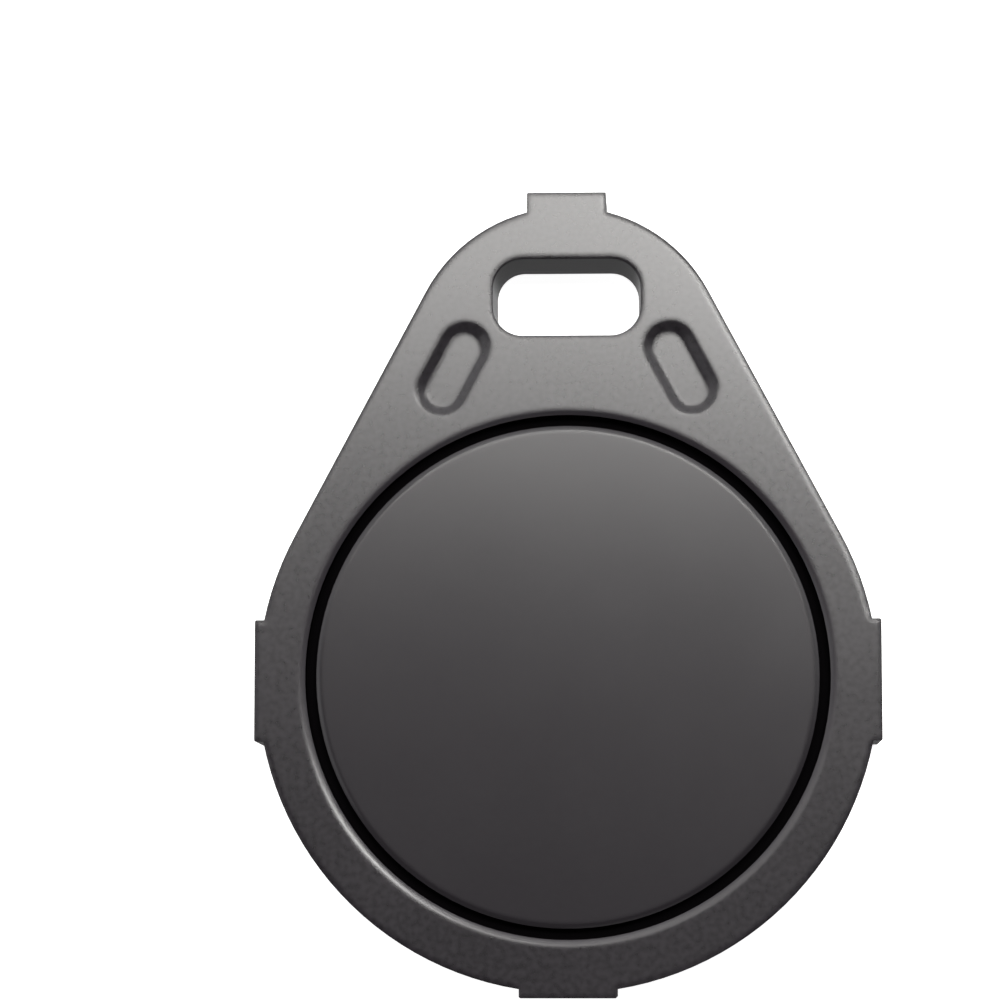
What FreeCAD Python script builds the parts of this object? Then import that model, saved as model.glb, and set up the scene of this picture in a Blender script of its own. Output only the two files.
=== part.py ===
import FreeCAD, Part
import math
import os
import Sketcher

# Key fob tag: a flat teardrop housing with a key-ring slot at its narrow end and a round lid over the coil.
# Millimetres. The origin is on the lid's axis in the back face, +Z points to the front face, +Y to the slot.

# Driving dimensions: name, value, meaning
SIZES = [
    ("rim_width", 2.35, "radius of the round end over that of the lid's pocket"),
    ("round_end_shift", 0.23, "centre of the round end below the lid's axis"),
    ("loop_radius", 7.95, "radius of the narrow end of the outline"),
    ("loop_gap", 2.5, "centre of the narrow end from the pocket's edge"),
    ("housing_thickness", 4.2, "thickness from back face to front face"),
    ("front_edge_radius", 0.2, "rounding of the outer edge at the front"),
    ("back_edge_chamfer", 0.2, "chamfer of the outer edge at the back"),
    ("side_land_length", 6.0, "length of the flat lands on the two sides"),
    ("side_land_reach", 0.15, "how far a side land stands out of the rim"),
    ("top_land_length", 3.95, "length of the land over the slot"),
    ("top_land_reach", 0.72, "how far that land stands out"),
    ("bottom_land_length", 4.8, "length of the land at the round end"),
    ("bottom_land_reach", 0.25, "how far that land stands out"),
    ("land_root", 1.2, "how deep a land is rooted in the rim"),
    ("land_edge_radius", 0.1, "rounding round the outer face of a land"),
    ("slot_side_wall", 4.265, "end of the slot from the side of the narrow end's circle"),
    ("slot_width", 3.88, "key-ring slot at the front, along Y"),
    ("slot_corner_radius", 1.5, "round corners of the slot"),
    ("slot_shift", 3.4, "slot centre from the centre of the narrow end"),
    ("slot_draft", 1.6, "draft of the slot's wall, in degrees"),
    ("slot_edge_chamfer", 0.1, "chamfer of the slot's edges, front and back"),
    ("recess_length", 5.0, "grip recess along the flank, at its mouth"),
    ("recess_width", 2.6, "grip recess across, at its mouth"),
    ("recess_depth", 0.5, "depth of a grip recess"),
    ("recess_taper", 45.0, "slope of the recess walls, in degrees"),
    ("recess_margin", 3.04, "recess centre from the straight flank"),
    ("recess_gap", 2.33, "recess centre from the pocket's edge, along Y"),
    ("lid_radius", 12.4, "radius of the round lid"),
    ("lid_gap", 0.55, "open gap round the lid"),
    ("lid_thickness", 1.0, "plate of the lid"),
    ("lid_edge_chamfer", 0.22, "chamfer of the lid's front edge"),
    ("pocket_edge_chamfer", 0.22, "chamfer of the pocket's front edge"),
    ("ledge_width", 1.6, "ledge in the pocket that carries the lid"),
    ("spigot_height", 0.7, "ring under the lid that centres it"),
    ("spigot_wall", 0.8, "wall of that ring"),
    ("fit_clearance", 0.05, "clearance of the ring in the cavity"),
    ("floor_thickness", 0.9, "back wall under the cavity"),
    ("coil_width", 1.8, "section of the winding, radially"),
    ("coil_height", 1.2, "section of the winding, along Z"),
    ("coil_clearance", 0.3, "gap beside the winding, inside and outside"),
    ("locator_wall", 0.7, "ring on the floor that centres the winding"),
    ("locator_height", 1.0, "height of that ring"),
    ("dab_angle", 24.0, "arc of one adhesive dab, in degrees"),
    ("dab_height", 0.8, "height of an adhesive dab"),
    ("board_width", 5.0, "chip board along X"),
    ("board_length", 7.0, "chip board along Y"),
    ("board_thickness", 0.4, "chip board along Z"),
    ("board_setback", 1.4, "board edge from the locating ring"),
    ("board_adhesive_thickness", 0.1, "adhesive pad under the board"),
    ("board_adhesive_margin", 0.5, "how far that pad stays inside the board"),
    ("pad_pitch", 2.8, "distance between the two copper lands"),
    ("pad_width", 1.4, "copper land along X"),
    ("pad_length", 1.8, "copper land along Y"),
    ("pad_inset", 0.3, "copper land from the board edge"),
    ("copper_thickness", 0.05, "copper on the board"),
    ("finger_width", 0.35, "strip from the land to the chip"),
    ("chip_setback", 2.2, "chip centre from the inner board edge"),
    ("die_size", 1.0, "side of the square chip"),
    ("die_thickness", 0.18, "thickness of the chip"),
    ("bond_inset", 0.2, "bond point from the chip's edge"),
    ("bond_rise", 0.14, "bond wire above the chip"),
    ("bond_wire_radius", 0.02, "radius of a bond wire"),
    ("resin_radius", 1.9, "resin drop over the chip"),
    ("resin_height", 0.75, "height of the resin drop"),
    ("lead_wire_radius", 0.06, "radius of the winding's lead ends"),
    ("lead_standoff", 0.03, "solder between a lead end and the copper"),
    ("lead_clearance", 0.5, "room beside a lead in the notch of the ring"),
    ("joint_radius", 0.55, "solder joint over the end of a lead"),
    ("joint_height", 0.3, "solder joint above the copper"),
]

# Sizes and places that follow from the driving ones
POCKET_RADIUS = "(Sizes.lid_radius + Sizes.lid_gap)"
BODY_RADIUS = f"({POCKET_RADIUS} + Sizes.rim_width)"
BODY_Y = "(0 - Sizes.round_end_shift)"
LOOP_Y = f"({POCKET_RADIUS} + Sizes.loop_gap)"
FLANK_ANGLE = f"asin(({BODY_RADIUS} - Sizes.loop_radius) / ({LOOP_Y} - {BODY_Y}))"
SLOT_Y = f"({LOOP_Y} + Sizes.slot_shift)"
SLOT_LENGTH = "(2 * (Sizes.loop_radius - Sizes.slot_side_wall))"
RECESS_Y = f"({POCKET_RADIUS} + Sizes.recess_gap)"
RECESS_REACH = f"(Sizes.loop_radius - Sizes.recess_margin + ({LOOP_Y} - {RECESS_Y}) * sin({FLANK_ANGLE}))"
RECESS_X = f"({RECESS_REACH} / cos({FLANK_ANGLE}))"
CAVITY_RADIUS = f"({POCKET_RADIUS} - Sizes.ledge_width)"
LEDGE_Z = "(Sizes.housing_thickness - Sizes.lid_thickness)"
FLOOR_Z = "Sizes.floor_thickness"
COIL_OUTER = f"({CAVITY_RADIUS} - Sizes.coil_clearance)"
COIL_INNER = f"({COIL_OUTER} - Sizes.coil_width)"
LOCATOR_OUTER = f"({COIL_INNER} - Sizes.coil_clearance)"
LOCATOR_INNER = f"({LOCATOR_OUTER} - Sizes.locator_wall)"
LOCATOR_TOP_Z = f"({FLOOR_Z} + Sizes.locator_height)"
BOARD_OUTER_Y = f"({LOCATOR_INNER} - Sizes.board_setback)"
BOARD_INNER_Y = f"({BOARD_OUTER_Y} - Sizes.board_length)"
BOARD_Z = f"({FLOOR_Z} + Sizes.board_adhesive_thickness)"
COPPER_Z = f"({BOARD_Z} + Sizes.board_thickness)"
COPPER_TOP_Z = f"({COPPER_Z} + Sizes.copper_thickness)"
DIE_TOP_Z = f"({COPPER_Z} + Sizes.die_thickness)"
PAD_X = "(Sizes.pad_pitch / 2)"
PAD_INNER_Y = f"({BOARD_OUTER_Y} - Sizes.pad_inset - Sizes.pad_length)"
PAD_Y = f"({PAD_INNER_Y} + Sizes.pad_length / 2)"
CHIP_Y = f"({BOARD_INNER_Y} + Sizes.chip_setback)"
LEAD_Z = f"({COPPER_TOP_Z} + Sizes.lead_standoff + Sizes.lead_wire_radius)"


def make_sheet(doc):
    """The sheet of driving dimensions, one alias a row."""
    sheet = doc.addObject("Spreadsheet::Sheet", "Sizes")
    for row, (alias, value, meaning) in enumerate(SIZES, start=1):
        sheet.set(f"A{row}", meaning)
        sheet.set(f"B{row}", str(value))
        sheet.setAlias(f"B{row}", alias)
    doc.recompute()
    return sheet


def number(doc, expression):
    """The present value of an expression on the sheet."""
    return float(doc.getObject("Sizes").evalExpression(expression))


def bind(feature, **expressions):
    """Ties properties to expressions; a double underscore stands for a dot."""
    for name, expression in expressions.items():
        feature.setExpression(name.replace("__", "."), expression)


def new_body(doc, label):
    """An empty body whose label is the node's name."""
    body = doc.addObject("PartDesign::Body", label.title().replace("_", ""))
    body.Label = label
    return body


def new_sketch(body, name, plane="XY_Plane", x="0", y="0", z="0", turn=None):
    """A sketch on one of the body's origin planes, shifted and turned in that plane's own axes."""
    sketch = body.newObject("Sketcher::SketchObject", name)
    support = next(f for f in body.Origin.OriginFeatures if f.Role == plane)
    sketch.AttachmentSupport = [(support, "")]
    sketch.MapMode = "FlatFace"
    bind(sketch, AttachmentOffset__Base__x=x, AttachmentOffset__Base__y=y, AttachmentOffset__Base__z=z)
    if turn:
        bind(sketch, AttachmentOffset__Rotation__Angle=turn)
    return sketch


def constrain(sketch, name, expression, *constraint):
    """A named dimension of a sketch, tied to the sheet."""
    value = number(sketch.Document, expression)
    index = sketch.addConstraint(Sketcher.Constraint(*constraint, value))
    sketch.renameConstraint(index, name)
    sketch.setExpression(f"Constraints.{name}", expression)


def join_ends(sketch, kind, pairs):
    """Coincident or Tangent joints between the ends of curves."""
    for first, first_end, second, second_end in pairs:
        sketch.addConstraint(Sketcher.Constraint(kind, first, first_end, second, second_end))


def draw_circle(sketch, radius):
    """A circle round the sketch's origin."""
    start = Part.Circle(FreeCAD.Vector(), FreeCAD.Vector(0, 0, 1), number(sketch.Document, radius))
    circle = sketch.addGeometry(start)
    sketch.addConstraint(Sketcher.Constraint("Coincident", circle, 3, -1, 1))
    constrain(sketch, "radius", radius, "Radius", circle)


def draw_rectangle(sketch, width, height):
    """A rectangle centred on the sketch's origin."""
    half_x = number(sketch.Document, width) / 2
    half_y = number(sketch.Document, height) / 2
    corners = [(-half_x, -half_y), (half_x, -half_y), (half_x, half_y), (-half_x, half_y)]
    points = [FreeCAD.Vector(*corner, 0) for corner in corners]
    sides = [sketch.addGeometry(Part.LineSegment(points[i], points[(i + 1) % 4])) for i in range(4)]
    join_ends(sketch, "Coincident", [(sides[i], 2, sides[(i + 1) % 4], 1) for i in range(4)])
    for side, direction in zip(sides, ["Horizontal", "Vertical", "Horizontal", "Vertical"]):
        sketch.addConstraint(Sketcher.Constraint(direction, side))
    sketch.addConstraint(Sketcher.Constraint("Symmetric", sides[0], 1, sides[2], 1, -1, 1))
    constrain(sketch, "width", width, "DistanceX", sides[0], 1, sides[0], 2)
    constrain(sketch, "height", height, "DistanceY", sides[1], 1, sides[1], 2)


def draw_obround(sketch, length, width):
    """A slot with round ends along the sketch's X axis, centred on its origin."""
    radius = number(sketch.Document, width) / 2
    half = number(sketch.Document, length) / 2 - radius
    up = FreeCAD.Vector(0, 0, 1)
    quarter = math.radians(90)
    right = Part.ArcOfCircle(Part.Circle(FreeCAD.Vector(half, 0, 0), up, radius), -quarter, quarter)
    left = Part.ArcOfCircle(Part.Circle(FreeCAD.Vector(-half, 0, 0), up, radius), quarter, 3 * quarter)
    top = Part.LineSegment(FreeCAD.Vector(half, radius, 0), FreeCAD.Vector(-half, radius, 0))
    bottom = Part.LineSegment(FreeCAD.Vector(-half, -radius, 0), FreeCAD.Vector(half, -radius, 0))
    curves = [sketch.addGeometry(curve) for curve in (right, left, top, bottom)]
    arc_right, arc_left, line_top, line_bottom = curves
    ends = [(arc_right, 2, line_top, 1), (line_top, 2, arc_left, 1)]
    ends += [(arc_left, 2, line_bottom, 1), (line_bottom, 2, arc_right, 1)]
    join_ends(sketch, "Tangent", ends)
    sketch.addConstraint(Sketcher.Constraint("Equal", arc_right, arc_left))
    sketch.addConstraint(Sketcher.Constraint("PointOnObject", arc_right, 3, -1))
    sketch.addConstraint(Sketcher.Constraint("Symmetric", arc_right, 3, arc_left, 3, -1, 1))
    constrain(sketch, "end_radius", f"{width} / 2", "Radius", arc_right)
    constrain(sketch, "span", f"{length} - {width}", "DistanceX", arc_left, 3, arc_right, 3)


def draw_rounded_rectangle(sketch, length, width, radius):
    """A rectangle with round corners, its length along the sketch's X axis, centred on its origin."""
    r = number(sketch.Document, radius)
    span_x = number(sketch.Document, length) / 2 - r
    span_y = number(sketch.Document, width) / 2 - r
    up = FreeCAD.Vector(0, 0, 1)
    centres = [(span_x, span_y), (-span_x, span_y), (-span_x, -span_y), (span_x, -span_y)]
    corners = []
    for i, centre in enumerate(centres):
        circle = Part.Circle(FreeCAD.Vector(*centre, 0), up, r)
        corners.append(Part.ArcOfCircle(circle, math.radians(90 * i), math.radians(90 * i + 90)))
    arcs = [sketch.addGeometry(corner) for corner in corners]
    sides = []
    for i in range(4):
        side = Part.LineSegment(corners[i].EndPoint, corners[(i + 1) % 4].StartPoint)
        sides.append(sketch.addGeometry(side))
    for i, direction in enumerate(["Horizontal", "Vertical", "Horizontal", "Vertical"]):
        join_ends(sketch, "Tangent", [(arcs[i], 2, sides[i], 1), (sides[i], 2, arcs[(i + 1) % 4], 1)])
        sketch.addConstraint(Sketcher.Constraint(direction, sides[i]))
    for arc in arcs[1:]:
        sketch.addConstraint(Sketcher.Constraint("Equal", arcs[0], arc))
    sketch.addConstraint(Sketcher.Constraint("Symmetric", arcs[0], 3, arcs[2], 3, -1, 1))
    constrain(sketch, "corner_radius", radius, "Radius", arcs[0])
    constrain(sketch, "span_x", f"{length} - 2 * {radius}", "DistanceX", arcs[1], 3, arcs[0], 3)
    constrain(sketch, "span_y", f"{width} - 2 * {radius}", "DistanceY", arcs[3], 3, arcs[0], 3)


def draw_polyline(sketch, corners, closed=True):
    """Straight lines from corner to corner, each corner placed by its own two expressions."""
    doc = sketch.Document
    points = [FreeCAD.Vector(number(doc, x), number(doc, y), 0) for x, y in corners]
    count = len(points) if closed else len(points) - 1
    runs = [Part.LineSegment(points[i], points[(i + 1) % len(points)]) for i in range(count)]
    lines = [sketch.addGeometry(run) for run in runs]
    for i in range(count if closed else count - 1):
        sketch.addConstraint(Sketcher.Constraint("Coincident", lines[i], 2, lines[(i + 1) % count], 1))
    for i, (x, y) in enumerate(corners):
        line, end = (lines[i], 1) if i < count else (lines[-1], 2)
        if x == "0":
            sketch.addConstraint(Sketcher.Constraint("PointOnObject", line, end, -2))
        else:
            constrain(sketch, f"x{i}", x, "DistanceX", -1, 1, line, end)
        constrain(sketch, f"y{i}", y, "DistanceY", -1, 1, line, end)


def draw_outline(sketch):
    """The teardrop: two arcs on the middle plane, joined by two straight flanks tangent to both."""
    doc = sketch.Document
    slope = math.radians(number(doc, FLANK_ANGLE))
    body_centre = FreeCAD.Vector(0, number(doc, BODY_Y), 0)
    loop_centre = FreeCAD.Vector(0, number(doc, LOOP_Y), 0)
    up = FreeCAD.Vector(0, 0, 1)
    body_circle = Part.Circle(body_centre, up, number(doc, BODY_RADIUS))
    loop_circle = Part.Circle(loop_centre, up, number(doc, "Sizes.loop_radius"))
    body_arc = Part.ArcOfCircle(body_circle, math.pi - slope, 2 * math.pi + slope)
    loop_arc = Part.ArcOfCircle(loop_circle, slope, math.pi - slope)
    right = Part.LineSegment(body_arc.EndPoint, loop_arc.StartPoint)
    left = Part.LineSegment(loop_arc.EndPoint, body_arc.StartPoint)
    curves = [sketch.addGeometry(curve) for curve in (body_arc, loop_arc, right, left)]
    body_end, loop_end, flank_right, flank_left = curves
    ends = [(body_end, 2, flank_right, 1), (flank_right, 2, loop_end, 1)]
    ends += [(loop_end, 2, flank_left, 1), (flank_left, 2, body_end, 1)]
    join_ends(sketch, "Tangent", ends)
    for arc in (body_end, loop_end):
        sketch.addConstraint(Sketcher.Constraint("PointOnObject", arc, 3, -2))
    constrain(sketch, "body_radius", BODY_RADIUS, "Radius", body_end)
    constrain(sketch, "loop_radius", "Sizes.loop_radius", "Radius", loop_end)
    constrain(sketch, "body_y", BODY_Y, "DistanceY", -1, 1, body_end, 3)
    constrain(sketch, "loop_y", LOOP_Y, "DistanceY", -1, 1, loop_end, 3)


def add_pad(body, name, sketch, length):
    """A pad of a sketch along +Z."""
    pad = body.newObject("PartDesign::Pad", name)
    pad.Profile = sketch
    bind(pad, Length=length)
    return pad


def add_pocket(body, name, sketch, depth, taper=None):
    """A pocket of a sketch, cut from the sketch's plane towards -Z."""
    pocket = body.newObject("PartDesign::Pocket", name)
    pocket.Profile = sketch
    bind(pocket, Length=depth)
    if taper:
        bind(pocket, TaperAngle=taper)
    return pocket


def add_edge_break(body, kind, name, size, wanted):
    """A Fillet or Chamfer on the edges of the body's present shape that the test picks."""
    body.Document.recompute()
    base = body.Tip
    picked = [f"Edge{i}" for i, edge in enumerate(base.Shape.Edges, start=1) if wanted(edge)]
    if not picked:
        raise RuntimeError(f"{name}: no edge to break")
    feature = body.newObject(f"PartDesign::{kind}", name)
    feature.Base = (base, picked)
    bind(feature, **{"Radius" if kind == "Fillet" else "Size": size})
    return feature


def add_revolved(body, kind, name, sketch, angle=360):
    """A Revolution or Groove of a section about the lid's axis."""
    feature = body.newObject(f"PartDesign::{kind}", name)
    feature.Profile = sketch
    feature.ReferenceAxis = (sketch, ["V_Axis"])
    feature.Angle = angle
    return feature


def add_mirror(body, name, features):
    """Repeats features on the other side of the middle plane."""
    mirrored = body.newObject("PartDesign::Mirrored", name)
    mirrored.Originals = features
    plane = next(f for f in body.Origin.OriginFeatures if f.Role == "YZ_Plane")
    mirrored.MirrorPlane = (plane, [""])
    body.Tip = mirrored
    return mirrored


def add_pipe(body, name, path, section):
    """A round wire along a path of straight runs."""
    pipe = body.newObject("PartDesign::AdditivePipe", name)
    pipe.Profile = section
    pipe.Spine = path
    pipe.Transition = "Right corner"
    return pipe


def lies_at(edge, height):
    """True where a whole edge lies at one height."""
    box = edge.BoundBox
    return abs(box.ZMin - height) < 1e-4 and abs(box.ZMax - height) < 1e-4


def distance_to(edge, x, y):
    """Distance of an edge's middle from a point, seen from the front."""
    middle = edge.valueAt((edge.FirstParameter + edge.LastParameter) / 2)
    return ((middle.x - x) ** 2 + (middle.y - y) ** 2) ** 0.5


def make_housing(doc):
    """The moulded housing: outline, lands, slot, grip recesses, pocket and cavity."""
    body = new_body(doc, "housing")
    outline = new_sketch(body, "Outline")
    draw_outline(outline)
    add_pad(body, "Blank", outline, "Sizes.housing_thickness")
    front = number(doc, "Sizes.housing_thickness")
    add_edge_break(body, "Fillet", "FrontRounding", "Sizes.front_edge_radius", lambda e: lies_at(e, front))
    add_edge_break(body, "Chamfer", "BackChamfer", "Sizes.back_edge_chamfer", lambda e: lies_at(e, 0))
    add_lands(body)
    add_slot(body, front)
    add_grip_recesses(body)
    add_cavity(body, front)
    return body


def add_lands(body):
    """Four flat lands on the rim, one at each end of the two axes, flush with the faces."""
    doc = body.Document
    side_reach = f"({BODY_RADIUS} + Sizes.side_land_reach)"
    top_reach = f"({LOOP_Y} + Sizes.loop_radius + Sizes.top_land_reach)"
    bottom_reach = f"({BODY_RADIUS} - {BODY_Y} + Sizes.bottom_land_reach)"
    root = "Sizes.land_root"
    lands = [
        ("RightLand", f"{side_reach} - {root} / 2", BODY_Y, root, "Sizes.side_land_length"),
        ("LeftLand", f"{root} / 2 - {side_reach}", BODY_Y, root, "Sizes.side_land_length"),
        ("TopLand", "0", f"{top_reach} - {root} / 2", "Sizes.top_land_length", root),
        ("BottomLand", "0", f"{root} / 2 - {bottom_reach}", "Sizes.bottom_land_length", root),
    ]
    for name, x, y, width, height in lands:
        sketch = new_sketch(body, f"{name}Shape", x=x, y=y)
        draw_rectangle(sketch, width, height)
        add_pad(body, name, sketch, "Sizes.housing_thickness")
    side = number(doc, side_reach)
    top = number(doc, top_reach)
    bottom = -number(doc, bottom_reach)

    def round_outer_face(edge):
        box = edge.BoundBox
        on_side = min(abs(box.XMin), abs(box.XMax)) > side - 1e-4
        return on_side or box.YMin > top - 1e-4 or box.YMax < bottom + 1e-4

    add_edge_break(body, "Fillet", "LandRounding", "Sizes.land_edge_radius", round_outer_face)


def add_slot(body, front):
    """The key-ring slot, chamfered on both faces."""
    doc = body.Document
    sketch = new_sketch(body, "SlotShape", y=SLOT_Y, z="Sizes.housing_thickness")
    draw_rounded_rectangle(sketch, SLOT_LENGTH, "Sizes.slot_width", "Sizes.slot_corner_radius")
    add_pocket(body, "Slot", sketch, "Sizes.housing_thickness", "0 - Sizes.slot_draft")
    centre_y = number(doc, SLOT_Y)
    reach = number(doc, SLOT_LENGTH) / 2 + 0.01

    def on_slot_edge(edge):
        level = lies_at(edge, 0) or lies_at(edge, front)
        return level and distance_to(edge, 0, centre_y) < reach

    add_edge_break(body, "Chamfer", "SlotChamfer", "Sizes.slot_edge_chamfer", on_slot_edge)


def add_grip_recesses(body):
    """Two shallow recesses with sloping walls, parallel to the flanks."""
    sketch = new_sketch(body, "RecessShape", x=RECESS_X, y=RECESS_Y, z="Sizes.housing_thickness",
                        turn=f"90 deg + {FLANK_ANGLE}")
    draw_obround(sketch, "Sizes.recess_length", "Sizes.recess_width")
    recess = add_pocket(body, "RightRecess", sketch, "Sizes.recess_depth", "0 - Sizes.recess_taper")
    add_mirror(body, "LeftRecess", [recess])


def add_cavity(body, front):
    """The lid's pocket, its ledge, the cavity and the ring that centres the winding."""
    doc = body.Document
    section = new_sketch(body, "CavitySection", plane="XZ_Plane")
    draw_polyline(section, [
        ("0", FLOOR_Z),
        (LOCATOR_INNER, FLOOR_Z),
        (LOCATOR_INNER, LOCATOR_TOP_Z),
        (LOCATOR_OUTER, LOCATOR_TOP_Z),
        (LOCATOR_OUTER, FLOOR_Z),
        (CAVITY_RADIUS, FLOOR_Z),
        (CAVITY_RADIUS, LEDGE_Z),
        (POCKET_RADIUS, LEDGE_Z),
        (POCKET_RADIUS, "Sizes.housing_thickness"),
        ("0", "Sizes.housing_thickness"),
    ])
    add_revolved(body, "Groove", "Cavity", section)
    pocket_radius = number(doc, POCKET_RADIUS)
    add_edge_break(body, "Chamfer", "PocketChamfer", "Sizes.pocket_edge_chamfer",
                   lambda e: lies_at(e, front) and abs(distance_to(e, 0, 0) - pocket_radius) < 1e-3)
    notch = new_sketch(body, "NotchShape", y=f"({LOCATOR_INNER} + {LOCATOR_OUTER}) / 2", z=LOCATOR_TOP_Z)
    draw_rectangle(notch, "Sizes.pad_pitch + 2 * Sizes.lead_clearance", "2 * Sizes.locator_wall")
    add_pocket(body, "LeadNotch", notch, "Sizes.locator_height")


def make_cover_disc(doc):
    """The round lid: a plate with a chamfered front edge and a centring ring under it."""
    body = new_body(doc, "cover_disc")
    section = new_sketch(body, "LidSection", plane="XZ_Plane")
    spigot_outer = f"({CAVITY_RADIUS} - Sizes.fit_clearance)"
    spigot_z = f"({LEDGE_Z} - Sizes.spigot_height)"
    draw_polyline(section, [
        ("0", LEDGE_Z),
        (f"{spigot_outer} - Sizes.spigot_wall", LEDGE_Z),
        (f"{spigot_outer} - Sizes.spigot_wall", spigot_z),
        (spigot_outer, spigot_z),
        (spigot_outer, LEDGE_Z),
        ("Sizes.lid_radius", LEDGE_Z),
        ("Sizes.lid_radius", "Sizes.housing_thickness"),
        ("0", "Sizes.housing_thickness"),
    ])
    add_revolved(body, "Revolution", "Plate", section)
    front = number(doc, "Sizes.housing_thickness")
    add_edge_break(body, "Chamfer", "LidChamfer", "Sizes.lid_edge_chamfer", lambda e: lies_at(e, front))
    return body


def make_antenna_coil(doc):
    """The bonded winding with its two lead ends, which run through the notch to the copper lands."""
    body = new_body(doc, "antenna_coil")
    top_z = f"({FLOOR_Z} + Sizes.coil_height)"
    section = new_sketch(body, "WindingSection", plane="XZ_Plane")
    draw_polyline(section, [
        (COIL_INNER, FLOOR_Z),
        (COIL_OUTER, FLOOR_Z),
        (COIL_OUTER, top_z),
        (COIL_INNER, top_z),
    ])
    add_revolved(body, "Revolution", "Winding", section)
    start_y = f"({COIL_INNER} + Sizes.coil_width / 2)"
    coil_z = f"({FLOOR_Z} + Sizes.coil_height / 2)"
    path = new_sketch(body, "LeadPath", plane="YZ_Plane", z=PAD_X)
    draw_polyline(path, [
        (start_y, coil_z),
        (LOCATOR_OUTER, coil_z),
        (BOARD_OUTER_Y, LEAD_Z),
        (f"{PAD_Y} - Sizes.joint_radius / 2", LEAD_Z),
    ], closed=False)
    wire = new_sketch(body, "LeadSection", plane="XZ_Plane", x=PAD_X, y=coil_z, z=f"0 - {start_y}")
    draw_circle(wire, "Sizes.lead_wire_radius")
    lead = add_pipe(body, "RightLead", path, wire)
    add_mirror(body, "LeftLead", [lead])
    return body


def make_coil_adhesive(doc):
    """Three dabs between the winding and its locating ring, clear of the notch."""
    body = new_body(doc, "coil_adhesive")
    top_z = f"({FLOOR_Z} + Sizes.dab_height)"
    section = new_sketch(body, "DabSection", plane="YZ_Plane")
    inner = f"0 - {COIL_INNER}"
    outer = f"0 - {LOCATOR_OUTER}"
    draw_polyline(section, [(inner, FLOOR_Z), (outer, FLOOR_Z), (outer, top_z), (inner, top_z)])
    dab = add_revolved(body, "Revolution", "Dab", section)
    bind(dab, Angle="Sizes.dab_angle")
    dab.Midplane = True
    pattern = body.newObject("PartDesign::PolarPattern", "Dabs")
    pattern.Originals = [dab]
    axis = next(f for f in body.Origin.OriginFeatures if f.Role == "Z_Axis")
    pattern.Axis = (axis, [""])
    pattern.Angle = 360
    pattern.Occurrences = 3
    body.Tip = pattern
    return body


def new_box(doc, name, length, width, height, x, y, z):
    """A block by its sizes, centred on x, from y and z upwards."""
    box = doc.addObject("Part::Box", name)
    bind(box, Length=length, Width=width, Height=height)
    bind(box, Placement__Base__x=f"{x} - {length} / 2", Placement__Base__y=y, Placement__Base__z=z)
    return box


def new_drop(doc, name, radius, height, x, y, z):
    """A set drop: the cap of a ball, by the radius of its foot and its height."""
    drop = doc.addObject("Part::Sphere", name)
    ball = f"(({radius} * {radius} + {height} * {height}) / (2 * {height}))"
    bind(drop, Radius=ball, Angle1=f"asin(({ball} - {height}) / {ball})")
    bind(drop, Placement__Base__x=x, Placement__Base__y=y, Placement__Base__z=f"{z} + {height} - {ball}")
    return drop


def new_mirror(doc, name, source):
    """The same piece on the other side of the middle plane."""
    mirror = doc.addObject("Part::Mirroring", name)
    mirror.Source = source
    mirror.Normal = (1, 0, 0)
    return mirror


def new_group(doc, name, pieces):
    """Separate solids that share one node."""
    group = doc.addObject("Part::Compound", name)
    group.Links = pieces
    return group


def make_chip_board(doc):
    """The chip's board."""
    board = new_box(doc, "ChipBoard", "Sizes.board_width", "Sizes.board_length", "Sizes.board_thickness",
                    "0", BOARD_INNER_Y, BOARD_Z)
    board.Label = "chip_board"
    return board


def make_board_adhesive(doc):
    """The adhesive pad between the board and the floor."""
    margin = "Sizes.board_adhesive_margin"
    pad = new_box(doc, "BoardAdhesive", f"(Sizes.board_width - 2 * {margin})",
                  f"(Sizes.board_length - 2 * {margin})", "Sizes.board_adhesive_thickness",
                  "0", f"{BOARD_INNER_Y} + {margin}", FLOOR_Z)
    pad.Label = "board_adhesive"
    return pad


def make_board_pads(doc):
    """Two copper lands, each with a strip that ends beside the chip."""
    land = new_box(doc, "Land", "Sizes.pad_width", "Sizes.pad_length", "Sizes.copper_thickness",
                   PAD_X, PAD_INNER_Y, COPPER_Z)
    strip_start = f"({CHIP_Y} - Sizes.finger_width / 2)"
    strip = new_box(doc, "Strip", "Sizes.finger_width", f"({PAD_INNER_Y} - {strip_start})",
                    "Sizes.copper_thickness", PAD_X, strip_start, COPPER_Z)
    right = doc.addObject("Part::Fuse", "RightPad")
    right.Base = land
    right.Tool = strip
    right.Refine = True
    pads = new_group(doc, "BoardPads", [right, new_mirror(doc, "LeftPad", right)])
    pads.Label = "board_pads"
    return pads


def make_chip_die(doc):
    """The square chip in the middle of the resin drop."""
    die = new_box(doc, "ChipDie", "Sizes.die_size", "Sizes.die_size", "Sizes.die_thickness",
                  "0", f"{CHIP_Y} - Sizes.die_size / 2", COPPER_Z)
    die.Label = "chip_die"
    return die


def make_bond_wires(doc):
    """Two wires from the top of the chip over to the copper strips."""
    body = new_body(doc, "bond_wires")
    chip_x = "(Sizes.die_size / 2 - Sizes.bond_inset)"
    loop_z = f"({DIE_TOP_Z} + Sizes.bond_rise)"
    path = new_sketch(body, "BondPath", plane="XZ_Plane", z=f"0 - {CHIP_Y}")
    draw_polyline(path, [
        (chip_x, DIE_TOP_Z),
        (chip_x, loop_z),
        (PAD_X, loop_z),
        (PAD_X, COPPER_TOP_Z),
    ], closed=False)
    wire = new_sketch(body, "BondSection", x=chip_x, y=CHIP_Y, z=DIE_TOP_Z)
    draw_circle(wire, "Sizes.bond_wire_radius")
    bond = add_pipe(body, "RightBond", path, wire)
    add_mirror(body, "LeftBond", [bond])
    return body


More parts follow.
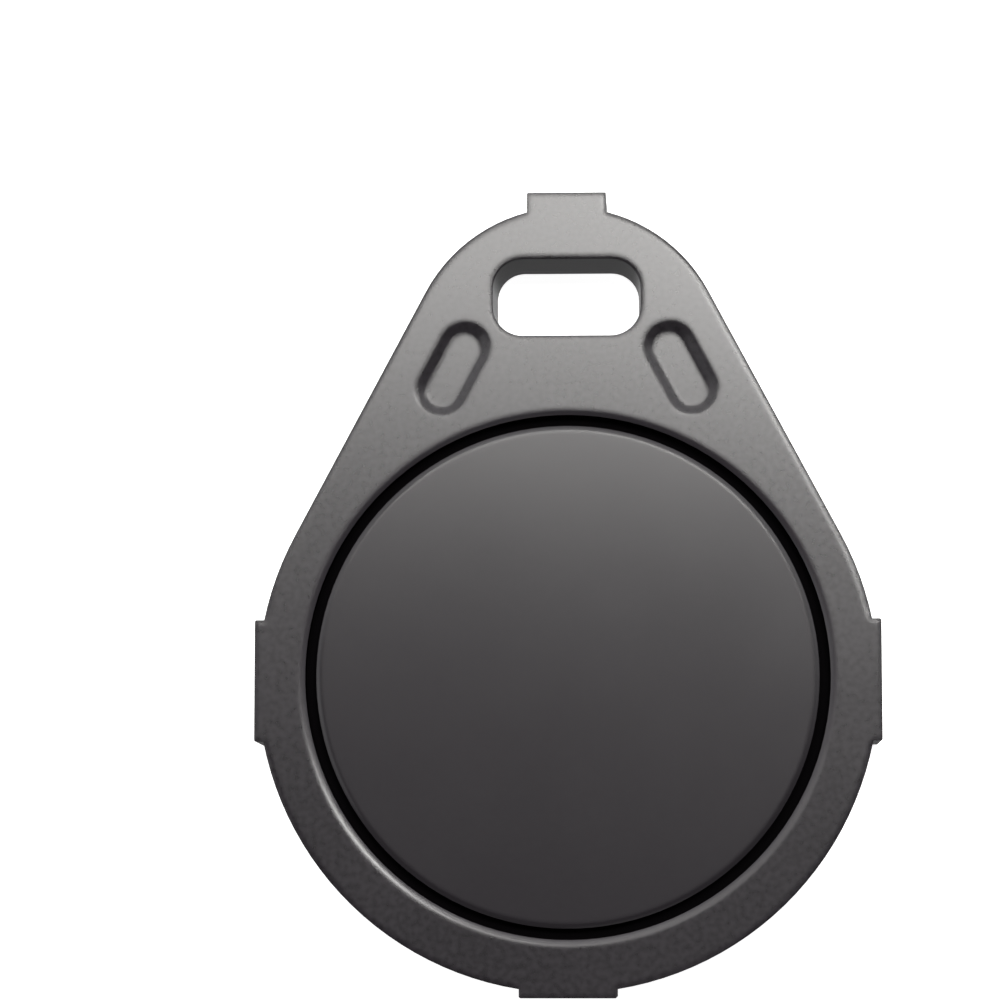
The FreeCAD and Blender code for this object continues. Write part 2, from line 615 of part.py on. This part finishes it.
def make_chip_encapsulant(doc, covered):
    """The resin drop, hollow where the pieces that it covers are."""
    drop = new_drop(doc, "Drop", "Sizes.resin_radius", "Sizes.resin_height", "0", CHIP_Y, COPPER_Z)
    filling = doc.addObject("Part::MultiFuse", "CoveredPieces")
    filling.Shapes = covered
    resin = doc.addObject("Part::Cut", "ChipEncapsulant")
    resin.Base = drop
    resin.Tool = filling
    resin.Label = "chip_encapsulant"
    return resin


def make_lead_joints(doc, coil):
    """Two solder joints over the lead ends on the copper lands."""
    drop = new_drop(doc, "SolderDrop", "Sizes.joint_radius", "Sizes.joint_height",
                    PAD_X, PAD_Y, COPPER_TOP_Z)
    drops = new_group(doc, "SolderDrops", [drop, new_mirror(doc, "LeftSolderDrop", drop)])
    joints = doc.addObject("Part::Cut", "LeadJoints")
    joints.Base = drops
    joints.Tool = coil
    joints.Label = "lead_joints"
    return joints


def check(doc, pieces):
    """Stops on a failed object, a cut that removed nothing, or a piece that isn't sound."""
    for item in doc.Objects:
        if {"Invalid", "Error"} & set(item.State):
            raise RuntimeError(f"{item.Label} failed: {item.State}")
        if item.TypeId in ("PartDesign::Pocket", "PartDesign::Groove"):
            if item.Shape.Volume >= item.BaseFeature.Shape.Volume:
                raise RuntimeError(f"{item.Label} cuts nothing")
    for piece in pieces:
        shape = piece.Shape
        if shape.isNull() or not shape.isValid() or not shape.Solids:
            raise RuntimeError(f"{piece.Label} isn't sound")


def main():
    """Builds every piece and writes one file for each."""
    doc = FreeCAD.newDocument("KeyFobTag")
    make_sheet(doc)
    housing = make_housing(doc)
    cover_disc = make_cover_disc(doc)
    antenna_coil = make_antenna_coil(doc)
    coil_adhesive = make_coil_adhesive(doc)
    chip_board = make_chip_board(doc)
    board_adhesive = make_board_adhesive(doc)
    board_pads = make_board_pads(doc)
    chip_die = make_chip_die(doc)
    bond_wires = make_bond_wires(doc)
    chip_encapsulant = make_chip_encapsulant(doc, [board_pads, chip_die, bond_wires])
    lead_joints = make_lead_joints(doc, antenna_coil)
    doc.recompute()
    pieces = [housing, cover_disc, antenna_coil, coil_adhesive, chip_board, board_adhesive, board_pads,
              chip_die, bond_wires, chip_encapsulant, lead_joints]
    check(doc, pieces)
    os.makedirs("parts", exist_ok=True)
    for piece in pieces:
        piece.Shape.exportStep(os.path.join("parts", f"{piece.Label}.step"))
        box = piece.Shape.optimalBoundingBox()
        print(f"{piece.Label}: {len(piece.Shape.Solids)} solid(s), {piece.Shape.Volume:.4f} mm3, "
              f"{box.XLength:.3f} x {box.YLength:.3f} x {box.ZLength:.3f} mm")


main()
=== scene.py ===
import logging
import math
from dataclasses import dataclass
from enum import Enum

import bpy
from mathutils import Matrix, Vector

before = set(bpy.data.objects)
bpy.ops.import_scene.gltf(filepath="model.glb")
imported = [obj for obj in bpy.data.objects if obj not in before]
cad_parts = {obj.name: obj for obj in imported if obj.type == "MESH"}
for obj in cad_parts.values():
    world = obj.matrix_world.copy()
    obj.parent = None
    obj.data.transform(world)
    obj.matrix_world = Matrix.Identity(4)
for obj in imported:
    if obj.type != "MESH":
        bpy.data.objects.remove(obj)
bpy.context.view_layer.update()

MM = 0.001
log = logging.getLogger("key_fob_tag")

Colour = tuple[float, float, float]
Point = tuple[float, float, float]

WINDOW_TINT: Colour = (1.0, 0.99, 0.965)
WHITE: tuple[float, float, float, float] = (1.0, 1.0, 1.0, 1.0)
BEVEL_SAMPLES = 4
SLOPE_BAND = (0.4, 0.65)


class Part(Enum):
    """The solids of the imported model, by node name."""

    HOUSING = "housing"
    LID = "cover_disc"
    COIL = "antenna_coil"
    COIL_ADHESIVE = "coil_adhesive"
    BOARD = "chip_board"
    BOARD_ADHESIVE = "board_adhesive"
    PADS = "board_pads"
    DIE = "chip_die"
    BONDS = "bond_wires"
    RESIN = "chip_encapsulant"
    JOINTS = "lead_joints"

    @property
    def piece(self) -> bpy.types.Object:
        """The node's object."""
        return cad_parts[self.value]

    def dress(self, material: bpy.types.Material) -> None:
        """Gives the node its material."""
        mesh = self.piece.data
        mesh.materials.clear()
        mesh.materials.append(material)
        log.info("%s wears %s", self.value, material.name)


class Signal:
    """A shader value that takes part in Python expressions."""

    def __init__(self, tree: "Tree", socket: bpy.types.NodeSocket) -> None:
        """Wraps an output socket of a tree."""
        self.tree = tree
        self.socket = socket

    def _math(self, operation: str, first: "Signal | float", second: "Signal | float") -> "Signal":
        """Adds one Math node.

        Args:
            operation: the Math node's operation.
            first: its first value.
            second: its second value.

        Returns:
            The node's result.
        """
        return self.tree.add("ShaderNodeMath", {"operation": operation}, {0: first, 1: second})

    def __add__(self, other: "Signal | float") -> "Signal":
        """Sum."""
        return self._math("ADD", self, other)

    def __radd__(self, other: float) -> "Signal":
        """Sum with a number in front."""
        return self._math("ADD", other, self)

    def __sub__(self, other: "Signal | float") -> "Signal":
        """Difference."""
        return self._math("SUBTRACT", self, other)

    def __rsub__(self, other: float) -> "Signal":
        """Difference from a number."""
        return self._math("SUBTRACT", other, self)

    def __mul__(self, other: "Signal | float") -> "Signal":
        """Product."""
        return self._math("MULTIPLY", self, other)

    def __rmul__(self, other: float) -> "Signal":
        """Product with a number in front."""
        return self._math("MULTIPLY", other, self)


class Tree:
    """The node tree of one material or of the sky."""

    def __init__(self, nodes: bpy.types.NodeTree) -> None:
        """Empties the tree."""
        self.nodes = nodes
        self.nodes.nodes.clear()

    def add(self, kind: str, settings: dict | None = None, values: dict | None = None,
            output: int | str = 0) -> Signal:
        """Adds a node.

        Args:
            kind: the node's type.
            settings: its properties, which are set first.
            values: numbers, colours or signals for its sockets, by name or index.
            output: the output socket that is wanted.

        Returns:
            That output as a signal.
        """
        node = self.nodes.nodes.new(kind)
        for name, setting in (settings or {}).items():
            setattr(node, name, setting)
        for name, value in (values or {}).items():
            if isinstance(value, Signal):
                self.nodes.links.new(value.socket, node.inputs[name])
            else:
                node.inputs[name].default_value = value
        return Signal(self, node.outputs[output])

    def close(self, kind: str, surface: Signal) -> None:
        """Ends the tree with an output node of a kind."""
        node = self.nodes.nodes.new(kind)
        self.nodes.links.new(surface.socket, node.inputs["Surface"])

    def place(self) -> Signal:
        """A point's place in the object's own frame, in metres."""
        return self.add("ShaderNodeTexCoord", output="Object")

    def parts_of(self, vector: Signal) -> tuple[Signal, Signal, Signal]:
        """The three components of a vector."""
        node = self.add("ShaderNodeSeparateXYZ", values={0: vector}).socket.node
        return tuple(Signal(self, socket) for socket in node.outputs)

    def scaled(self, vector: Signal, factors: Point) -> Signal:
        """A vector stretched along its axes."""
        return self.add("ShaderNodeVectorMath", {"operation": "MULTIPLY"}, {0: vector, 1: factors})

    def length(self, vector: Signal) -> Signal:
        """A vector's length."""
        return self.add("ShaderNodeVectorMath", {"operation": "LENGTH"}, {0: vector}, "Value")

    def wave(self, value: Signal, pitch: float) -> Signal:
        """A sine from 0 to 1 of a length, one period a pitch."""
        sine = self.add("ShaderNodeMath", {"operation": "SINE"}, {0: value * (2 * math.pi / pitch)})
        return 0.5 + 0.5 * sine

    def noise(self, vector: Signal, cell: float, detail: float = 2, roughness: float = 0.5) -> Signal:
        """Soft noise around 0.5.

        Args:
            vector: the place that it follows.
            cell: size of its blotches, in metres.
            detail: number of finer layers.
            roughness: strength of the finer layers.

        Returns:
            The noise.
        """
        values = {"Vector": vector, "Scale": 1 / cell, "Detail": detail, "Roughness": roughness}
        return self.add("ShaderNodeTexNoise", {"normalize": True}, values, "Fac")

    def grains(self, vector: Signal, cell: float, smoothness: float = 0.5) -> Signal:
        """Rounded grains of one size, 0 in their middle."""
        values = {"Vector": vector, "Scale": 1 / cell, "Smoothness": smoothness}
        return self.add("ShaderNodeTexVoronoi", {"feature": "SMOOTH_F1"}, values, "Distance")

    def step(self, value: Signal, low: float, high: float, bottom: Signal | float = 0,
             top: Signal | float = 1) -> Signal:
        """A smooth step of a value.

        Args:
            value: what is compared.
            low: where the step starts.
            high: where it ends.
            bottom: the result before it.
            top: the result after it.

        Returns:
            The stepped value.
        """
        values = {"Value": value, "From Min": low, "From Max": high, "To Min": bottom, "To Max": top}
        return self.add("ShaderNodeMapRange", {"interpolation_type": "SMOOTHSTEP"}, values)

    def blend(self, amount: Signal, first: Colour | Signal, second: Colour | Signal) -> Signal:
        """A colour between two others."""
        ends = [end if isinstance(end, Signal) else (*end, 1) for end in (first, second)]
        return self.add("ShaderNodeMix", {"data_type": "RGBA"}, {0: amount, 6: ends[0], 7: ends[1]}, 2)

    def soft_edges(self, radius: float) -> tuple[Signal, Signal]:
        """Edges rounded in the shading.

        Args:
            radius: radius of the rounding, in metres.

        Returns:
            The rounded surface's direction, and how far it turns from the true one.
        """
        rounded = self.add("ShaderNodeBevel", {"samples": BEVEL_SAMPLES}, {"Radius": radius})
        true = self.add("ShaderNodeNewGeometry", output="Normal")
        match = self.add("ShaderNodeVectorMath", {"operation": "DOT_PRODUCT"}, {0: rounded, 1: true}, "Value")
        return rounded, 1 - match

    def softened(self, rounded: Signal, strength: float) -> Signal:
        """Shading that leans towards the front on slopes, as on a slope with rounded feet.

        Args:
            rounded: the surface's direction.
            strength: how far it leans; upright walls don't.

        Returns:
            The direction that the shading takes.
        """
        true = self.add("ShaderNodeNewGeometry", output="Normal")
        slope = self.step(self.parts_of(true)[2], *SLOPE_BAND) * strength
        lean = self.add("ShaderNodeCombineXYZ", values={2: slope})
        leaning = self.add("ShaderNodeVectorMath", {"operation": "ADD"}, {0: rounded, 1: lean})
        return self.add("ShaderNodeVectorMath", {"operation": "NORMALIZE"}, {0: leaning})

    def relief(self, height: Signal, depth: float, base: Signal | None = None) -> Signal:
        """A fine relief.

        Args:
            height: the relief's height, from 0 to 1.
            depth: what a height of 1 stands for, in metres.
            base: direction of the surface that it lies on.

        Returns:
            The surface's direction.
        """
        values = {"Height": height, "Distance": depth, "Strength": 1}
        if base:
            values["Normal"] = base
        return self.add("ShaderNodeBump", values=values)


@dataclass(frozen=True)
class Finish:
    """A finish: its name and its main colour."""

    name: str
    colour: Colour

    def make(self) -> bpy.types.Material:
        """Builds the material.

        Returns:
            The material.
        """
        material = bpy.data.materials.new(self.name)
        material.use_nodes = True
        tree = Tree(material.node_tree)
        surface = tree.add("ShaderNodeBsdfPrincipled", values=self.surface(tree))
        tree.close("ShaderNodeOutputMaterial", self.shade_over(tree, surface))
        return material

    def surface(self, tree: Tree) -> dict:
        """What the surface shader's sockets get."""
        raise NotImplementedError

    def shade_over(self, tree: Tree, surface: Signal) -> Signal:
        """The surface with painted shade over its unlit parts; most finishes have none."""
        return surface

    def tone(self, factor: float) -> Colour:
        """The colour, made paler or deeper."""
        return tuple(min(1.0, factor * part) for part in self.colour)


@dataclass(frozen=True)
class MouldedPlastic(Finish):
    """Satin plastic as it leaves a mould with a fine spark-eroded grain."""

    colour: Colour = (0.0172, 0.0150, 0.0178)
    roughness: float = 0.20
    grain_cell: float = 0.3 * MM
    grain_depth: float = 0.0005 * MM
    mottle: float = 0.25
    cloud_cell: float = 6.0 * MM
    edge_radius: float = 0.4 * MM
    slope_softness: float = 0.9
    # painted highlight: a paler band round the pocket's edge, set by the four values below
    edge_highlight_paleness: float = 1.4
    edge_highlight_radius: float = 13.2 * MM
    edge_highlight_fade: float = 0.15 * MM
    edge_highlight_rise: float = 0.03 * MM
    wear_cell: float = 0.7 * MM
    wear_paleness: float = 1.7
    unevenness: float = 0.02
    index: float = 1.49
    # painted shade in the gap round the lid: its place, its soft borders and its tone
    shaded_gap_radii: tuple[float, float] = (11.5 * MM, 12.97 * MM)
    shaded_gap_heights: tuple[float, float] = (2.9 * MM, 3.97 * MM)
    gap_shade_blur: float = 0.02 * MM
    gap_shade_fade: float = 0.1 * MM
    gap_shade_tone: float = 0.15

    def surface(self, tree: Tree) -> dict:
        """Clouded dark plastic with grain, its edges rubbed paler, a painted highlight round the pocket's edge
        and its slopes shaded softly.
        """
        place = tree.place()
        height = tree.parts_of(place)[2]
        rounded, turn = tree.soft_edges(self.edge_radius)
        clouds = tree.noise(place, self.cloud_cell, detail=3)
        specks = tree.noise(place, self.grain_cell, detail=1, roughness=0.3)
        rub = tree.step(turn, 0.02, 0.2) * tree.step(tree.noise(place, self.wear_cell), 0.35, 0.7)
        shade = tree.blend(tree.step(clouds * 0.3 + specks * 0.7, 0.3, 0.7),
                           self.tone(1 - self.mottle), self.tone(1 + self.mottle))
        worn = tree.blend(rub * 0.5, shade, self.tone(self.wear_paleness))
        reach = tree.length(tree.scaled(place, (1, 1, 0)))
        # painted highlight: the pocket's edge, inside this reach and above the gap, is made paler
        painted_edge_highlight = tree.step(reach, self.edge_highlight_radius + self.edge_highlight_fade, self.edge_highlight_radius)
        painted_edge_highlight = painted_edge_highlight * tree.step(height, self.shaded_gap_heights[1], self.shaded_gap_heights[1] + self.edge_highlight_rise)
        grain = tree.grains(place, self.grain_cell) * 0.5 + specks * 0.5
        leaning = tree.softened(rounded, self.slope_softness)
        return {
            "Base Color": tree.blend(painted_edge_highlight, worn, self.tone(self.edge_highlight_paleness)),
            "Roughness": self.roughness + (clouds - 0.5) * self.unevenness + (specks - 0.5) * self.unevenness,
            "IOR": self.index,
            "Normal": tree.relief(grain, self.grain_depth, leaning),
        }

    def shade_over(self, tree: Tree, surface: Signal) -> Signal:
        """Painted shade: the walls and the floor of the narrow gap round the lid are made matt and nearly
        black, where shade falls.
        """
        place = tree.place()
        height = tree.parts_of(place)[2]
        reach = tree.length(tree.scaled(place, (1, 1, 0)))
        inner, outer = self.shaded_gap_radii
        low, high = self.shaded_gap_heights
        # painted shade: a mask of the gap round the lid, where a matt near-black surface stands in for shade
        painted_gap_shade = tree.step(reach, inner - self.gap_shade_blur, inner) * tree.step(reach, outer + self.gap_shade_blur, outer)
        painted_gap_shade = painted_gap_shade * tree.step(height, low, low + self.gap_shade_fade) * tree.step(height, high, high - self.gap_shade_fade)
        painted_shade_surface = tree.add("ShaderNodeBsdfPrincipled", values={
            "Base Color": (*self.tone(self.gap_shade_tone), 1), "Roughness": 1.0, "Specular IOR Level": 0.0})
        return tree.add("ShaderNodeMixShader", values={0: painted_gap_shade, 1: surface, 2: painted_shade_surface})


@dataclass(frozen=True)
class EnamelledWinding(Finish):
    """Bonded turns of enamelled wire, side by side."""

    colour: Colour = (0.55, 0.20, 0.075)
    wire: float = 0.12 * MM

    def surface(self, tree: Tree) -> dict:
        """Round turns, with painted shade in the seams between them and paler crowns, and glints of varying
        strength.
        """
        place = tree.place()
        height = tree.parts_of(place)[2]
        flat = tree.scaled(place, (1, 1, 0))
        turns = tree.wave(height, self.wire) * 0.5 + tree.wave(tree.length(flat), self.wire) * 0.5
        stains = tree.noise(place, 1.5 * MM, detail=3)
        along = tree.noise(place, 0.3 * MM, detail=2)
        # painted shade and highlight: each turn dark in its seams and pale on its crown
        shade = tree.blend(tree.step(turns, 0.2, 0.8), self.tone(0.35), self.tone(1.15))
        return {
            "Base Color": tree.blend(stains * 0.5, shade, self.tone(0.7)),
            "Metallic": 0.85,
            "Roughness": 0.26 + along * 0.14,
            "Normal": tree.relief(turns, 0.05 * MM),
            "Coat Weight": tree.step(stains, 0.3, 0.6, 0.3, 0.6),
            "Coat Roughness": 0.12,
        }


@dataclass(frozen=True)
class SetAdhesive(Finish):
    """Pale adhesive that set with a soft skin and small bubbles."""

    colour: Colour = (0.70, 0.62, 0.44)
    bubble: float = 0.25 * MM

    def surface(self, tree: Tree) -> dict:
        """Cloudy, waxy and slightly uneven."""
        place = tree.place()
        clouds = tree.noise(place, 1.2 * MM, detail=3)
        bubbles = tree.step(tree.grains(place, self.bubble, 0.2), 0.12, 0.3)
        skin = tree.noise(place, 0.6 * MM, detail=2) * 0.6 + bubbles * 0.4
        return {
            "Base Color": tree.blend(clouds, self.tone(0.8), self.tone(1.15)),
            "Roughness": 0.3 + clouds * 0.2,
            "Subsurface Weight": 0.2,
            "Subsurface Scale": 0.5 * MM,
            "Normal": tree.relief(skin, 0.03 * MM),
        }


@dataclass(frozen=True)
class BoardLaminate(Finish):
    """Glass-cloth laminate under a green solder mask."""

    colour: Colour = (0.016, 0.11, 0.045)
    thread: float = 0.45 * MM

    def surface(self, tree: Tree) -> dict:
        """The cloth's weave shows through the mask; the cut edges are paler."""
        place = tree.place()
        x, y = tree.parts_of(place)[:2]
        weave = tree.wave(x, self.thread) * tree.wave(y, self.thread)
        sides = tree.add("ShaderNodeNewGeometry", output="Normal")
        upright = tree.length(tree.scaled(sides, (1, 1, 0)))
        clouds = tree.noise(place, 1.8 * MM, detail=3)
        mask = tree.blend(weave * 0.5 + clouds * 0.3, self.tone(0.75), self.tone(1.5))
        return {
            "Base Color": tree.blend(tree.step(upright, 0.4, 0.6), mask, (0.42, 0.36, 0.2)),
            "Roughness": 0.28 + tree.step(upright, 0.4, 0.6) * 0.35 + clouds * 0.08,
            "Normal": tree.relief(weave, 0.006 * MM),
        }


@dataclass(frozen=True)
class BareMetal(Finish):
    """Metal with the fine streaks of rolling or drawing, dulled in patches."""

    roughness: float = 0.3
    streak: float = 0.03 * MM
    stretch: Point = (1.0, 0.08, 1.0)
    depth: float = 0.002 * MM

    def surface(self, tree: Tree) -> dict:
        """Streaks along one axis and blotches of tarnish."""
        place = tree.place()
        streaks = tree.noise(tree.scaled(place, self.stretch), self.streak, detail=2)
        tarnish = tree.step(tree.noise(place, 0.5 * MM, detail=3), 0.4, 0.75)
        return {
            "Base Color": tree.blend(tarnish * 0.6 + streaks * 0.2, self.tone(1.05), self.tone(0.6)),
            "Metallic": 1.0,
            "Roughness": self.roughness + streaks * 0.1 + tarnish * 0.2,
            "Normal": tree.relief(streaks, self.depth),
        }


@dataclass(frozen=True)
class PolishedSilicon(Finish):
    """A chip: a polished dark face with faint blocks of circuit."""

    colour: Colour = (0.11, 0.12, 0.16)
    block: float = 0.09 * MM

    def surface(self, tree: Tree) -> dict:
        """Square blocks that differ in shade, on a mirror-like ground."""
        place = tree.place()
        values = {"Vector": place, "Scale": 1 / self.block, "Randomness": 0.35}
        blocks = tree.add("ShaderNodeTexVoronoi", {"feature": "F1", "distance": "CHEBYCHEV"}, values)
        lines = tree.step(blocks, 0.3, 0.42)
        tint = tree.noise(place, 0.2 * MM, detail=1)
        return {
            "Base Color": tree.blend(lines * 0.6 + tint * 0.3, self.tone(0.7), (0.3, 0.24, 0.34)),
            "Metallic": 0.8,
            "Roughness": 0.12 + lines * 0.15,
            "Normal": tree.relief(lines, 0.001 * MM),
        }


@dataclass(frozen=True)
class PottingResin(Finish):
    """A black resin drop, glossy, with the faint ripples of its setting."""

    colour: Colour = (0.012, 0.012, 0.013)

    def surface(self, tree: Tree) -> dict:
        """Gloss broken by ripples and a few dust specks."""
        place = tree.place()
        ripples = tree.noise(place, 1.1 * MM, detail=2)
        dust = tree.step(tree.noise(place, 0.09 * MM, detail=1), 0.72, 0.8)
        return {
            "Base Color": tree.blend(dust, self.colour, self.tone(6)),
            "Roughness": 0.16 + dust * 0.3 + ripples * 0.06,
            "Normal": tree.relief(ripples, 0.02 * MM),
        }


@dataclass
class Case:
    """The moulded housing and its round lid."""

    housing: MouldedPlastic = MouldedPlastic("housing_plastic")
    # the lid: its highlight paleness of 1.0 paints no highlight; its gap values paint shade on its side down in
    # the gap
    lid: MouldedPlastic = MouldedPlastic(
        "lid_plastic", roughness=0.18, grain_cell=0.25 * MM, grain_depth=0.0002 * MM, mottle=0.1,
        edge_radius=0.3 * MM, edge_highlight_paleness=1.0,
        shaded_gap_radii=(12.38 * MM, 13.0 * MM), shaded_gap_heights=(2.9 * MM, 4.0 * MM))

    def build(self) -> None:
        """Dresses both mouldings."""
        Part.HOUSING.dress(self.housing.make())
        Part.LID.dress(self.lid.make())


@dataclass
class Antenna:
    """The winding and the adhesive dabs that hold it."""

    winding: EnamelledWinding = EnamelledWinding("enamelled_copper")
    adhesive: SetAdhesive = SetAdhesive("adhesive")

    def build(self) -> None:
        """Dresses the winding and its dabs."""
        Part.COIL.dress(self.winding.make())
        Part.COIL_ADHESIVE.dress(self.adhesive.make())


@dataclass
class ChipModule:
    """The chip on its board, with its wires, its resin and the soldered leads."""

    laminate: BoardLaminate = BoardLaminate("board_laminate")
    adhesive: SetAdhesive = SetAdhesive("board_adhesive_film", colour=(0.6, 0.56, 0.46))
    copper: BareMetal = BareMetal("copper", (0.80, 0.42, 0.27))
    silicon: PolishedSilicon = PolishedSilicon("silicon")
    bond: BareMetal = BareMetal("bond_metal", (0.9, 0.66, 0.25), roughness=0.2, streak=0.01 * MM)
    resin: PottingResin = PottingResin("resin")
    solder: BareMetal = BareMetal(
        "solder", (0.66, 0.67, 0.69), roughness=0.22, streak=0.2 * MM, stretch=(1.0, 1.0, 1.0), depth=0.01 * MM)

    def build(self) -> None:
        """Dresses the module from the board up."""
        Part.BOARD_ADHESIVE.dress(self.adhesive.make())
        Part.BOARD.dress(self.laminate.make())
        Part.PADS.dress(self.copper.make())
        Part.DIE.dress(self.silicon.make())
        Part.BONDS.dress(self.bond.make())
        Part.RESIN.dress(self.resin.make())
        Part.JOINTS.dress(self.solder.make())


@dataclass(frozen=True)
class Softbox:
    """A flat soft light that faces the tag."""

    name: str
    at: Point
    size: tuple[float, float]
    brightness: float
    tint: Colour = (1.0, 1.0, 1.0)

    def build(self) -> None:
        """Places the light."""
        width, height = self.size
        light = bpy.data.lights.new(self.name, "AREA")
        light.shape = "RECTANGLE"
        light.size = width
        light.size_y = height
        light.energy = math.pi * width * height * self.brightness
        light.color = self.tint
        lamp = bpy.data.objects.new(self.name, light)
        away = Vector(self.at).normalized()
        across = (Vector((1, 0, 0)) - away.x * away).normalized()
        axes = Matrix((across, away.cross(across), away)).transposed()
        lamp.matrix_world = Matrix.Translation(self.at) @ axes.to_4x4()
        bpy.context.scene.collection.objects.link(lamp)
        log.info("%s lit", self.name)


@dataclass
class Studio:
    """A pale floor, the sky of a pale room and soft lights."""

    floor_half: float = 1.5
    floor_height: float = -0.05 * MM
    floor_tone: float = 0.86
    floor_glow: float = 0.95
    floor_cloud: float = 0.12
    floor_clouding: float = 1.02
    far_wall: float = 1.5
    near_wall: float = 0.1
    ceiling: float = 0.065
    below: float = 0.15
    wall_band: tuple[float, float] = (-0.3, 0.35)
    ceiling_band: tuple[float, float] = (0.6, 0.93)
    ground_band: tuple[float, float] = (0.0, 0.5)
    horizon_band: tuple[float, float] = (-0.15, 0.02)
    softboxes: tuple[Softbox, ...] = (
        Softbox("right_window", (0.12, 0.155, 0.6), (0.16, 0.10), 34.0, WINDOW_TINT),
        Softbox("middle_window", (-0.04, 0.155, 0.6), (0.16, 0.10), 15.0, WINDOW_TINT),
        Softbox("left_window", (-0.20, 0.155, 0.6), (0.16, 0.10), 4.5, WINDOW_TINT),
        Softbox("high_window", (0.0, 0.36, 0.6), (0.40, 0.28), 3.6, WINDOW_TINT),
        Softbox("left_fill", (-0.6, -0.1, 0.4), (0.4, 0.3), 0.8),
        Softbox("front_fill", (0.2, -0.7, 0.35), (0.4, 0.3), 0.5),
    )

    def build(self) -> None:
        """Makes the floor, the sky and the lights."""
        self._floor()
        self._sky()
        for softbox in self.softboxes:
            softbox.build()

    def _floor(self) -> None:
        """The floor, just below the back face, so that the two don't share a plane."""
        half, height = self.floor_half, self.floor_height
        mesh = bpy.data.meshes.new("floor")
        corners = [(x, y, height) for x, y in ((-half, -half), (half, -half), (half, half), (-half, half))]
        mesh.from_pydata(corners, [], [(0, 1, 2, 3)])
        floor = bpy.data.objects.new("floor", mesh)
        bpy.context.scene.collection.objects.link(floor)
        floor.visible_glossy = False
        material = bpy.data.materials.new("floor_paint")
        material.use_nodes = True
        tree = Tree(material.node_tree)
        tone = self.floor_tone
        clouds = tree.noise(tree.place(), self.floor_cloud, detail=2)
        paint = tree.blend(clouds, (tone,) * 3, (tone * self.floor_clouding,) * 3)
        surface = tree.add("ShaderNodeBsdfPrincipled", values={
            "Base Color": paint,
            "Roughness": 0.9,
            "Specular IOR Level": 0.0,
            "Emission Color": WHITE,
            "Emission Strength": self.floor_glow,
        })
        tree.close("ShaderNodeOutputMaterial", surface)
        mesh.materials.append(material)

    def _sky(self) -> None:
        """Light from all round: a bright far wall, a dim near one and a dark ceiling."""
        world = bpy.data.worlds.new("room")
        world.use_nodes = True
        bpy.context.scene.world = world
        tree = Tree(world.node_tree)
        y, z = tree.parts_of(tree.add("ShaderNodeTexCoord", output="Generated"))[1:]
        wall = tree.step(y, *self.wall_band, self.near_wall, self.far_wall)
        room = tree.step(z, *self.ceiling_band, wall, self.ceiling)
        ground = tree.step(y, *self.ground_band, self.below, self.far_wall)
        tone = tree.step(z, *self.horizon_band, ground, room)
        background = tree.add("ShaderNodeBackground", values={"Color": WHITE, "Strength": tone})
        tree.close("ShaderNodeOutputWorld", background)


@dataclass
class PhotographView:
    """The camera, where the photograph was taken from."""

    target: Point = (0.028 * MM, 4.095 * MM, 4.2 * MM)
    tilt_down: float = 5.0
    tilt_right: float = 1.35
    distance: float = 200 * MM
    pixels_per_mm: float = 20.27
    target_pixel: tuple[float, float] = (567.5, 592.5)
    image_side: int = 1000
    sensor: float = 36.0

    def build(self) -> None:
        """Places the camera so that the target falls on its pixel."""
        across = math.sin(math.radians(self.tilt_right))
        down = -math.sin(math.radians(self.tilt_down))
        away = Vector((across, down, math.sqrt(1 - across ** 2 - down ** 2)))
        right = Vector((0, 1, 0)).cross(away).normalized()
        up = away.cross(right)
        reach = self.pixels_per_mm / MM * self.distance
        middle = self.image_side / 2
        ray = -away * reach
        ray += (middle - self.target_pixel[0]) * right
        ray -= (middle - self.target_pixel[1]) * up
        back = -ray.normalized()
        right = Vector((0, 1, 0)).cross(back).normalized()
        up = back.cross(right)
        data = bpy.data.cameras.new("photograph_view")
        data.sensor_width = self.sensor
        data.lens = reach / self.image_side * self.sensor
        data.clip_start = 0.01
        camera = bpy.data.objects.new("photograph_view", data)
        place = Vector(self.target) + self.distance * away
        camera.matrix_world = Matrix.Translation(place) @ Matrix((right, up, back)).transposed().to_4x4()
        bpy.context.scene.collection.objects.link(camera)
        bpy.context.scene.camera = camera


def main() -> None:
    """Dresses the tag and sets the stage."""
    logging.basicConfig(level=logging.INFO, format="%(message)s")
    bpy.context.scene.view_settings.view_transform = "Standard"
    for assembly in (Case(), Antenna(), ChipModule(), Studio(), PhotographView()):
        assembly.build()
        log.info("%s done", type(assembly).__name__)


if __name__ == "__main__":
    main()
